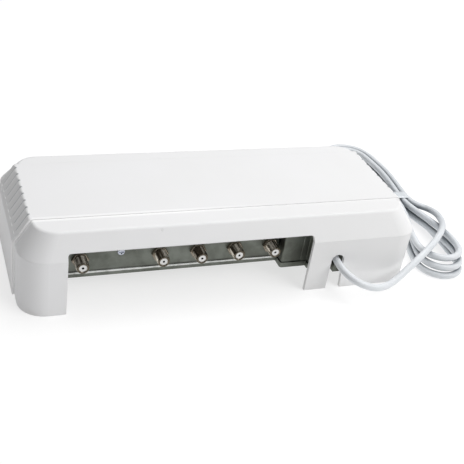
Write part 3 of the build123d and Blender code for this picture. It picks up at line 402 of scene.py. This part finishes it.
def strapLoop(inset):
    # a rounded loop across the hank, in its own plane: (across, up)
    corner = strap["corner"] - inset
    loop = []
    for quarter, (sideX, sideZ) in enumerate(((1, 1), (-1, 1), (-1, -1), (1, -1))):
        middleX = sideX * (strap["half"] - strap["corner"])
        if sideZ > 0:
            middleZ = strap["high"] - strap["corner"]
        else:
            middleZ = strap["low"] + strap["corner"]
        for step in range(strap["cornerSteps"] + 1):
            angle = math.pi / 2 * (quarter + step / strap["cornerSteps"])
            loop.append((middleX + corner * math.cos(angle), middleZ + corner * math.sin(angle)))
    return loop


strapMesh = bmesh.new()
strapRings = []
waistTurn = math.radians(hank["waist"]["turn"])
for share, inset in strap["section"]:
    ring = []
    for spot, (across, up) in enumerate(strapLoop(inset)):
        across += hank["waist"]["shift"] / perMetre
        along = share * strap["width"] + strap["wave"] * math.sin(spot * strap["wavePitch"])
        ring.append(strapMesh.verts.new((
            hank["middle"][0] / perMetre + along * math.sin(waistTurn) + across * math.cos(waistTurn),
            hank["middle"][1] / perMetre + along * math.cos(waistTurn) - across * math.sin(waistTurn),
            up)))
    strapRings.append(ring)
skin(strapMesh, strapRings + strapRings[:1])
hankStrap = meshPiece("hankStrap", strapMesh, strapFilm, "chassis")
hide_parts("hank_tie")
print("cord laid, control points:", len(cordRoute))

# moulded hood
hoodLook = {
    "gloss": 0.4,
    "light": tone(233, 233, 234),
    "shade": tone(230, 230, 230),
    "dust": tone(206, 204, 199),
    # tone of the painted shade in the end grooves
    "grooveShade": tone(178, 181, 183),
    # tone of the painted highlight in the hood's corners and beside the band's step
    "paintedShine": tone(252, 252, 252),
    # dust lies at the foot, where the wall is rubbed
    "dustHeight": 0.006,
    "dustFrom": (0.45, 0.75),
    "dustShare": 0.6,
    # reach and strength of the painted highlight in the hood's own corners
    "creviceReach": 0.0030,
    "creviceShare": 0.8,
    # where the end slopes are grooved: out from the middle, back from the front, up from the floor
    "groovedOut": (0.1405, 0.1415),
    "groovedBack": (-0.0352, -0.0342),
    "groovedUp": (0.0468, 0.0488),
    "firstGroove": -0.0297,
    "groovePitch": 0.0092,
    "groovesBefore": 10.0,  # keeps the count of grooves above nought
    "grooveLine": (0.15, 0.24),
    # a painted highlight lies beside the band's front step, from the left end to the middle
    "bandFront": -0.036,
    "stepReach": (0.0020, 0.0030),
    "stepShine": 0.5,
    "stepFade": (-0.04, 0.04),
    "edge": 0.0006,
    "grain": (2600.0, 2.0, 0.6),
    "flow": (9.0, 4.0, 0.5),
    "rub": (60.0, 6.0, 0.7, (1.0, 0.3, 1.0)),
    "rough": (0.42, 0.12, 0.08),
    "rubbedFrom": (0.5, 0.8),
    "flowBump": 0.6,
    "depth": 0.000018,
}
moulded = Finish("mouldedWhite", hoodLook["gloss"])
grain = moulded.noise(*hoodLook["grain"])
flow = moulded.noise(*hoodLook["flow"])
rub = moulded.noise(*hoodLook["rub"])
foot = moulded.limit(moulded.height(2), 0.0, hoodLook["dustHeight"], 1.0, 0.0)
crossways, lengthways = moulded.height(0), moulded.height(1)
# painted shade lies deep in the end grooves; elsewhere a painted highlight lies in the hood's own
# corners and beside the band's front step
grooved = moulded.limit(abs(crossways), *hoodLook["groovedOut"])
grooved = grooved * moulded.limit(lengthways, *hoodLook["groovedBack"])
grooved = grooved * moulded.limit(moulded.height(2), *hoodLook["groovedUp"])
# each groove has a line of painted shade at the foot of its steep side
phase = (lengthways - hoodLook["firstGroove"]) / hoodLook["groovePitch"]
phase = (phase + hoodLook["groovesBefore"]).fraction()
line = grooved * moulded.limit(phase, *hoodLook["grooveLine"], 1.0, 0.0)
stepAway = abs(lengthways - hoodLook["bandFront"])
edgeShine = moulded.limit(stepAway, *hoodLook["stepReach"], hoodLook["stepShine"], 0.0)
edgeShine = edgeShine * moulded.limit(crossways, *hoodLook["stepFade"], 1.0, 0.0)
# painted highlight: in the hood's own corners and beside the band's front step
paintedShine = moulded.crevice(hoodLook["creviceReach"]) * hoodLook["creviceShare"] + edgeShine
paintedLightShare = moulded.limit(paintedShine * (1.0 - grooved) + line, 0.0, 1.0)
# painted shade tone in the grooves, painted highlight tone elsewhere
paintedLightTone = moulded.blend(grooved, hoodLook["paintedShine"], hoodLook["grooveShade"])
plain = moulded.blend(moulded.limit(flow, *softMix), hoodLook["light"], hoodLook["shade"])
dust = foot * moulded.limit(rub, *hoodLook["dustFrom"]) * hoodLook["dustShare"]
rubbed = moulded.limit(rub, *hoodLook["rubbedFrom"])
hoodRough, grainRough, rubbedRough = hoodLook["rough"]
moulded.wear(
    colour=moulded.blend(paintedLightShare, moulded.blend(dust, plain, hoodLook["dust"]), paintedLightTone),
    roughness=hoodRough + grainRough * grain + rubbedRough * rubbed,
    normal=moulded.relief(
        grain + hoodLook["flowBump"] * flow, hoodLook["depth"], edge=hoodLook["edge"]),
)
dress(moulded, "hood")

# shallow gate mark that fills the dimple on the front shoulder, nearly flush
gate = {
    "place": (-0.0557, -0.05454, 0.05812),
    "out": (0.0, -17.0, 11.0),
    # radius, and place along the way out, from the bottom to the face
    "rings": ((0.00088, -0.00055), (0.00088, -0.00016), (0.00055, -0.0001)),
    "count": 24,
}
gateMesh = bmesh.new()
gateOut = Vector(gate["out"]).normalized()
gateUp = gateOut.cross(Vector((1.0, 0.0, 0.0)))
gateLoops = []
for radius, depth in gate["rings"]:
    ring = []
    for spot in range(gate["count"]):
        angle = spot * math.tau / gate["count"]
        ring.append(gateMesh.verts.new(
            Vector(gate["place"]) + gateOut * depth
            + Vector((radius * math.cos(angle), 0.0, 0.0)) + gateUp * radius * math.sin(angle)))
    gateLoops.append(ring)
skin(gateMesh, gateLoops)
gateMesh.faces.new(gateLoops[0])
gateMesh.faces.new(gateLoops[-1])
meshPiece("gateMark", gateMesh, moulded, "cover", smooth=False)

# tinplate chassis
tinLook = {
    "bright": tone(126, 130, 123),
    "dull": tone(98, 101, 94),
    "stain": tone(80, 79, 70),
    # tone of the painted highlight along the tray's lip
    "edge": tone(236, 238, 236),
    "rolled": (420.0, 5.0, 0.65, (0.05, 1.0, 1.0)),
    "spangle": (55.0, 4.0, 0.6),
    "blotch": (18.0, 5.0, 0.65),
    "scratch": (900.0, 2.0, 0.5, (0.02, 0.6, 1.0)),
    "scratchFrom": (0.62, 0.72),
    # where a blotch shows as a stain, takes from the metal and adds to the roughness
    "stainFrom": (0.55, 0.75),
    "stainShare": 0.55,
    "dullFrom": (0.6, 0.8),
    "roughFrom": (0.5, 0.8),
    # the painted highlight on a tray's lip: its height up from the floor, and where it ends along the
    # lip
    "lipHeight": (0.0150, 0.0156),
    "lipEnd": (0.0410, 0.0440),
    "ragged": (150.0, 4.0, 0.7, (0.5, 0.5, 1.0)),
    "raggedHeight": 0.0012,
    "raggedShine": (0.3, 0.5, 0.5, 1.0),
    "metal": (0.92, 0.2, 0.6),
    "rough": (0.36, 0.18, 0.1),
    "bump": (0.5, 0.4),  # shares of the rolling and the scratches
    "depth": 0.00003,
    "rounded": 0.0004,
}


def tinnedFinish(name, lip):
    # rolled tinplate; a tray's lip has a painted highlight along its top edge
    finish = Finish(name)
    rolled, spangle, blotch, scratch = [
        finish.noise(*tinLook[pattern]) for pattern in ("rolled", "spangle", "blotch", "scratch")]
    scratch = finish.limit(scratch, *tinLook["scratchFrom"])
    sheetTone = finish.blend(finish.limit(spangle, *softMix), tinLook["dull"], tinLook["bright"])
    stained = finish.limit(blotch, *tinLook["stainFrom"]) * tinLook["stainShare"]
    surface = finish.blend(stained, sheetTone, tinLook["stain"])
    shine = 0.0
    if lip:
        # painted highlight along the lip's top edge, less metallic there
        ragged = finish.noise(*tinLook["ragged"])
        edge = finish.height(2) + ragged * tinLook["raggedHeight"]
        shine = finish.limit(edge, *tinLook["lipHeight"])
        shine = shine * finish.limit(ragged, *tinLook["raggedShine"])
        shine = shine * finish.limit(finish.height(0), *tinLook["lipEnd"], 1.0, 0.0)
        surface = finish.blend(shine, surface, tinLook["edge"])
    cleanMetal, dullLess, shineLess = tinLook["metal"]
    cleanRough, rolledMore, blotchMore = tinLook["rough"]
    rolledBump, scratchBump = tinLook["bump"]
    dulled = finish.limit(blotch, *tinLook["dullFrom"])
    roughened = finish.limit(blotch, *tinLook["roughFrom"])
    return finish.wear(
        colour=surface,
        metallic=cleanMetal - dullLess * dulled - shineLess * shine,
        roughness=cleanRough + rolledMore * rolled + blotchMore * roughened,
        normal=finish.relief(
            rolled * rolledBump + spangle + scratch * scratchBump, tinLook["depth"],
            edge=tinLook["rounded"]),
    )


dress(tinnedFinish("tinnedTray", True), "bottom_tray")
dress(tinnedFinish("tinnedSheet", False), "chassis_frame", "top_lid", "shield_fence")

# galvanised feet
bracketLook = {
    "bright": tone(168, 170, 170),
    "dull": tone(136, 138, 139),
    "flakeScale": 160.0,
    "flakeFrom": (0.1, 0.6),
    "cloud": (30.0, 3.0, 0.55),
    "smear": (300.0, 4.0, 0.55),
    "pits": (700.0, 3.0, 0.55),
    "metal": (0.9, 0.15),
    "rough": (0.34, 0.25),
    "depth": 0.00002,
}
galvanised = Finish("galvanisedSheet")
flakes = galvanised.cells(bracketLook["flakeScale"])
cloud, smear, pits = [
    galvanised.noise(*bracketLook[pattern]) for pattern in ("cloud", "smear", "pits")]
flakeShare = galvanised.limit(flakes, *bracketLook["flakeFrom"])
galvanised.wear(
    colour=galvanised.blend(flakeShare, bracketLook["dull"], bracketLook["bright"]),
    metallic=bracketLook["metal"][0] - bracketLook["metal"][1] * cloud,
    roughness=bracketLook["rough"][0] + bracketLook["rough"][1] * smear,
    normal=galvanised.relief(flakes + pits, bracketLook["depth"]),
)
dress(galvanised, "wall_bracket_left", "wall_bracket_right", "transformer_clamp")

# nickel plate on the sockets and their nuts
nickelLook = {
    "face": tone(178, 169, 154),
    "dark": tone(122, 112, 98),
    # tone of the painted shade on the socket's end face
    "end": tone(92, 85, 73),
    # dark and light tones of the painted reflection stripes along the barrel
    "stripeShade": tone(84, 76, 64),
    "glint": tone(226, 219, 206),
    "smear": (260.0, 4.0, 0.6),
    "turned": (2400.0, 2.0, 0.5, (0.1, 1.0, 0.1)),
    "stripePattern": (420.0, 2.0, 0.5, (1.0, 0.03, 1.0)),
    "stripeFrom": (0.42, 0.58),
    "endDepth": 0.0004,
    "metal": (0.98, 0.05),
    "rough": (0.18, 0.12),
    "depth": 0.000012,
    "rounded": 0.0001,
}


def nickelFinish(name, endFace=None):
    # turned and plated; a socket's barrel has painted reflection stripes, dark and light along it, and
    # its end face has painted shade
    finish = Finish(name)
    smear = finish.noise(*nickelLook["smear"])
    turned = finish.noise(*nickelLook["turned"])
    surface = finish.blend(finish.limit(smear, *wideMix), nickelLook["dark"], nickelLook["face"])
    if endFace:
        # painted reflection stripes along the barrel
        reflectionStripes = finish.limit(finish.noise(*nickelLook["stripePattern"]), *nickelLook["stripeFrom"])
        surface = finish.blend(reflectionStripes, nickelLook["stripeShade"], nickelLook["glint"])
        # painted shade on the socket's end face
        onFace = finish.limit(
            finish.height(1), endFace, endFace + nickelLook["endDepth"], 1.0, 0.0)
        surface = finish.blend(onFace, surface, nickelLook["end"])
    return finish.wear(
        colour=surface,
        metallic=nickelLook["metal"][0] - nickelLook["metal"][1] * smear,
        roughness=nickelLook["rough"][0] + nickelLook["rough"][1] * smear,
        normal=finish.relief(turned, nickelLook["depth"], edge=nickelLook["rounded"]),
    )


dress(nickelFinish("nickelPlate"), *numbered("f_nut"))


def metalFinish(finish, pattern, look, mix=None, rough=None, bump=None):
    # tone, metal, roughness and relief follow one pattern, unless another is given for one
    return finish.wear(
        colour=finish.blend(mix or pattern, look["dark"], look["light"]),
        metallic=look["metal"][0] - look["metal"][1] * pattern,
        roughness=look["rough"][0] + look["rough"][1] * (rough or pattern),
        normal=finish.relief(bump or pattern, look["depth"]),
    )


# screws
zincLook = {"light": tone(214, 219, 230), "dark": tone(172, 176, 188), "film": (500.0, 4.0, 0.6),
            "metal": (0.97, 0.06), "rough": (0.22, 0.2), "depth": 0.00002}
zinc = Finish("zincPlate")
zincFilm = zinc.noise(*zincLook["film"])
metalFinish(zinc, zincFilm, zincLook, mix=zinc.limit(zincFilm, *wideMix))
dress(zinc, "lid_screws", "earth_screw", "bracket_screws")

# centre contacts
contactLook = {"light": tone(205, 196, 168), "dark": tone(165, 152, 118),
               "film": (400.0, 4.0, 0.6), "pits": (3000.0, 3.0, 0.55),
               "metal": (0.97, 0.04), "rough": (0.18, 0.2), "depth": 0.00001}
contact = Finish("platedPin")
contactFilm = contact.noise(*contactLook["film"])
metalFinish(contact, contactFilm, contactLook, bump=contact.noise(*contactLook["pits"]))
dress(contact, *numbered("f_contact"))

# plug pins: metal tips with insulating sleeves
plugLook = {"metal": tone(206, 204, 196), "sleeve": tone(38, 38, 40), "film": (600.0, 4.0, 0.55),
            "sleeveEdge": (0.0701, 0.0705), "rough": (0.2, 0.15, 0.2), "depth": 0.00001}
pinMetal = Finish("plugPins")
sleeve = pinMetal.limit(pinMetal.height(0), *plugLook["sleeveEdge"])
pinFilm = pinMetal.noise(*plugLook["film"])
pinRough, filmRough, sleeveRough = plugLook["rough"]
pinMetal.wear(
    colour=pinMetal.blend(sleeve, plugLook["metal"], plugLook["sleeve"]),
    metallic=1.0 - sleeve,
    roughness=pinRough + filmRough * pinFilm + sleeveRough * sleeve,
    normal=pinMetal.relief(pinFilm, plugLook["depth"]),
)
dress(pinMetal, "plug_pins")

# small moulded plastic pieces, with painted shade down in their holes; a piece may have its own reach
# for that shade, or its own depth
plasticLook = {"gloss": 0.45, "grain": (1800.0, 3.0, 0.6), "patch": (70.0, 4.0, 0.55),
               # tone of the painted shade in holes, and how far it reaches
               "hole": tone(28, 27, 26), "holeShade": 0.0008, "grainRough": 0.14, "patchBump": 0.4,
               "depth": 0.00002}
plastics = {
    "plugWhite": {
        "light": tone(236, 237, 237), "shade": tone(227, 229, 230), "roughness": 0.3,
        "nodes": ["plug_body"]},
    "spacerNylon": {
        "light": tone(236, 236, 230), "shade": tone(224, 224, 216), "roughness": 0.35,
        "nodes": ["board_spacers"]},
    "insulatorWhite": {
        "light": tone(244, 244, 243), "shade": tone(236, 236, 234), "roughness": 0.3,
        # a wider painted shade down the insulator's bore
        "holeShade": 0.0022, "nodes": numbered("f_dielectric")},
    "glandRubber": {
        "light": tone(40, 40, 41), "shade": tone(30, 30, 31), "roughness": 0.5,
        "depth": 0.00004, "nodes": ["cord_gland"]},
    "terminalCream": {
        "light": tone(222, 219, 208), "shade": tone(208, 204, 190), "roughness": 0.4,
        "nodes": ["terminal_block"]},
    "epoxyBlack": {
        "light": tone(34, 34, 35), "shade": tone(24, 24, 25), "roughness": 0.45,
        "depth": 0.00005, "nodes": ["rectifier_bridge", "regulator"]},
    "ferriteGrey": {
        "light": tone(66, 65, 64), "shade": tone(50, 49, 49), "roughness": 0.55,
        "depth": 0.00006, "nodes": ["splitter_cores"]},
    "wireSheath": {
        "light": tone(214, 216, 218), "shade": tone(200, 203, 206), "roughness": 0.36,
        "nodes": ["mains_wires"]},
}
for name, look in plastics.items():
    finish = Finish(name, plasticLook["gloss"])
    texture = finish.noise(*plasticLook["grain"])
    patch = finish.noise(*plasticLook["patch"])
    surface = finish.blend(finish.limit(patch, *softMix), look["light"], look["shade"])
    # painted shade down in holes and recesses
    holeShade = finish.crevice(look.get("holeShade", plasticLook["holeShade"]))
    finish.wear(
        colour=finish.blend(holeShade, surface, plasticLook["hole"]),
        roughness=look["roughness"] + plasticLook["grainRough"] * texture,
        normal=finish.relief(
            texture + plasticLook["patchBump"] * patch, look.get("depth", plasticLook["depth"])),
    )
    dress(finish, *look["nodes"])

# circuit boards of brown paper laminate, with bright tracks
boardLook = {
    "track": tone(176, 178, 170),
    "light": tone(150, 112, 62),
    "dark": tone(128, 92, 48),
    "trackScale": 150.0,
    "trackStretch": (1.0, 0.55, 1.0),
    "trackEdge": (0.03, 0.05),
    "trackMetal": 0.7,
    "fibre": (800.0, 4.0, 0.6),
    "rough": (0.3, 0.2),
    "depth": 0.00004,
}
board = Finish("paperBoard")
track = board.cells(boardLook["trackScale"], "DISTANCE_TO_EDGE", boardLook["trackStretch"])
track = board.limit(track, *boardLook["trackEdge"])
fibre = board.noise(*boardLook["fibre"])
paper = board.blend(fibre, boardLook["light"], boardLook["dark"])
board.wear(
    colour=board.blend(track, boardLook["track"], paper),
    metallic=boardLook["trackMetal"] * (1 - track),
    roughness=boardLook["rough"][0] + boardLook["rough"][1] * fibre,
    normal=board.relief(1 - track, boardLook["depth"]),
)
dress(board, "rf_board", "psu_board")

# drawn cans and extruded heat sink
drawnLook = {"light": tone(210, 211, 212), "dark": tone(186, 188, 190),
             "lines": (1500.0, 2.0, 0.5, (1.0, 1.0, 0.05)),
             "metal": (0.97, 0.04), "rough": (0.24, 0.16), "depth": 0.00001}
drawn = Finish("drawnCan")
metalFinish(drawn, drawn.noise(*drawnLook["lines"]), drawnLook)
dress(drawn, "rf_transistors", "board_capacitors", "smoothing_capacitor", "fuse_clips", "fuse")

sinkLook = {"light": tone(150, 152, 153), "dark": tone(120, 122, 124),
            "lines": (1200.0, 3.0, 0.5, (1.0, 1.0, 0.03)),
            "metal": (0.9, 0.05), "rough": (0.34, 0.15), "depth": 0.00002}
sink = Finish("extrudedSink")
metalFinish(sink, sink.noise(*sinkLook["lines"]), sinkLook)
dress(sink, "heat_sink")

# copper turns and stacked laminations
copperLook = {"light": tone(186, 98, 52), "dark": tone(112, 52, 24),
              "turns": (200.0, "Y"), "enamel": (600.0, 3.0, 0.55),
              "metal": (0.85, 0.1), "rough": (0.26, 0.12), "depth": 0.0002}
copper = Finish("enamelledCopper")
turns = copper.bands(*copperLook["turns"])
metalFinish(copper, turns, copperLook, rough=copper.noise(*copperLook["enamel"]))
dress(copper, "filter_coils", "transformer_winding")

stackLook = {"light": tone(104, 102, 100), "dark": tone(62, 60, 58),
             "leaves": (320.0, "Z"), "lacquer": (500.0, 3.0, 0.55),
             "metal": (0.75, 0.1), "rough": (0.4, 0.2), "depth": 0.0001}
stack = Finish("coreLaminations")
leaves = stack.bands(*stackLook["leaves"])
metalFinish(stack, leaves, stackLook, rough=stack.noise(*stackLook["lacquer"]))
dress(stack, "transformer_core")
print("finishes made")

# F sockets with their thread
socket = {
    "places": [-0.1075, -0.0495, -0.0205, 0.0085, 0.0375],
    "z": 0.0269,
    "tip": -0.0495, "plate": -0.0367, "flangeBack": -0.0347, "back": -0.0287,
    "radius": 0.0047, "flange": 0.0064, "shank": 0.0052, "bore": 0.00285,
    "pitch": 0.00079375, "depth": 0.00034, "flank": 1.2,
    "threadFrom": 0.0008, "threadTo": 0.0009,  # clear of the plate, and of the tip
    "runIn": 6, "runOut": 4,  # steps over which the thread grows and fades
    "flangeEdge": 0.0002, "boreEdge": 0.0003, "collar": 0.0007,
    "tipEdge": ((0.0002, 0.0004), (0.0, 0.0006)),  # back from the tip, and in from the barrel
    "segments": 44, "stepsPerTurn": 5,
    "merge": 1e-7, "sharp": 50,
}


def socketRings():
    # (place along the barrel, radius, share of the thread's depth) from the back, over the
    # outside, to the bore
    s = socket
    root = s["radius"] - s["depth"]
    rings = [(s["back"], s["bore"], 0), (s["back"], s["shank"], 0),
             (s["flangeBack"], s["shank"], 0),
             (s["flangeBack"], s["flange"] - s["flangeEdge"], 0),
             (s["flangeBack"] - s["flangeEdge"], s["flange"], 0),
             (s["plate"] + s["flangeEdge"], s["flange"], 0),
             (s["plate"], s["flange"] - s["flangeEdge"], 0), (s["plate"], root, 0)]
    start, end = s["plate"] - s["threadFrom"], s["tip"] + s["threadTo"]
    steps = int((start - end) / s["pitch"] * s["stepsPerTurn"])
    for step in range(steps + 1):
        y = start + (end - start) * step / steps
        cut = min(1.0, step / s["runIn"], (steps - step) / s["runOut"])
        rings.append((y, s["radius"] - s["depth"] * (1 - cut), cut))
    rings.append((s["tip"] + s["collar"], root, 0))
    rings += [(s["tip"] + away, s["radius"] - inward, 0) for away, inward in s["tipEdge"]]
    rings += [(s["tip"], s["bore"] + s["boreEdge"], 0), (s["tip"] + s["boreEdge"], s["bore"], 0),
              (s["back"], s["bore"], 0)]
    return rings


def socketMesh(x):
    mesh = bmesh.new()
    loops = []
    count = socket["segments"]
    for y, radius, cut in socketRings():
        loop = []
        for spot in range(count):
            angle = 2 * math.pi * spot / count
            turnShare = (y / socket["pitch"] + spot / count) % 1.0
            groove = abs(2 * turnShare - 1) ** socket["flank"]
            r = radius - socket["depth"] * cut * groove
            loop.append(mesh.verts.new((
                x + r * math.cos(angle), y, socket["z"] + r * math.sin(angle))))
        loops.append(loop)
    skin(mesh, loops)
    bmesh.ops.remove_doubles(mesh, verts=mesh.verts, dist=socket["merge"])
    return mesh


socketNickel = nickelFinish("nickelSocket", socket["tip"])
for number, x in enumerate(socket["places"], start=1):
    piece = meshPiece(f"fSocket{number}", socketMesh(x), socketNickel, "chassis")
    edges = piece.modifiers.new("edges", "EDGE_SPLIT")
    edges.split_angle = math.radians(socket["sharp"])
    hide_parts(f"f_socket_{number}")
print("sockets threaded")

# floor: white paper that glows a little, so that it stays white to the horizon
white = (1.0, 1.0, 1.0, 1.0)
floorLook = {"size": 60.0, "tone": tone(160, 160, 160), "glow": 0.67, "roughness": 0.8}
floorMesh = bmesh.new()
half = floorLook["size"] / 2
floorMesh.faces.new([floorMesh.verts.new((sideX * half, sideY * half, 0.0))
                     for sideX, sideY in ((-1, -1), (1, -1), (1, 1), (-1, 1))])
floorData = bpy.data.meshes.new("floor")
floorMesh.to_mesh(floorData)
floorMesh.free()
floorFinish = Finish("floorPaper")
floorFinish.wear(colour=floorLook["tone"], roughness=floorLook["roughness"])
floorFinish.shader.inputs["Emission Color"].default_value = white
floorFinish.shader.inputs["Emission Strength"].default_value = floorLook["glow"]
floorData.materials.append(floorFinish.material)
floor = addObject("floor", floorData)

# light: a key lamp in front on the right, a larger one above, and a little from all round
studio = {
    "allRound": 0.1,
    "aim": (0.02, 0.0, 0.03),
    "lamps": {
        "key": {"place": (0.9, -0.9, 1.3), "size": 1.2, "power": 19.0},
        "top": {"place": (0.5, 0.5, 1.65), "size": 1.8, "power": 28.0},
    },
}
world = bpy.data.worlds.new("studio")
world.use_nodes = True
world.node_tree.nodes["Background"].inputs["Color"].default_value = white
world.node_tree.nodes["Background"].inputs["Strength"].default_value = studio["allRound"]
bpy.context.scene.world = world

for name, lamp in studio["lamps"].items():
    light = bpy.data.lights.new(name, "AREA")
    light.shape = "SQUARE"
    light.size = lamp["size"]
    light.energy = lamp["power"]
    holder = addObject(name, light)
    holder.location = lamp["place"]
    ahead = Vector(studio["aim"]) - Vector(lamp["place"])
    holder.rotation_euler = ahead.to_track_quat("-Z", "Y").to_euler()
bpy.context.scene.view_settings.view_transform = "Standard"
print("lit")
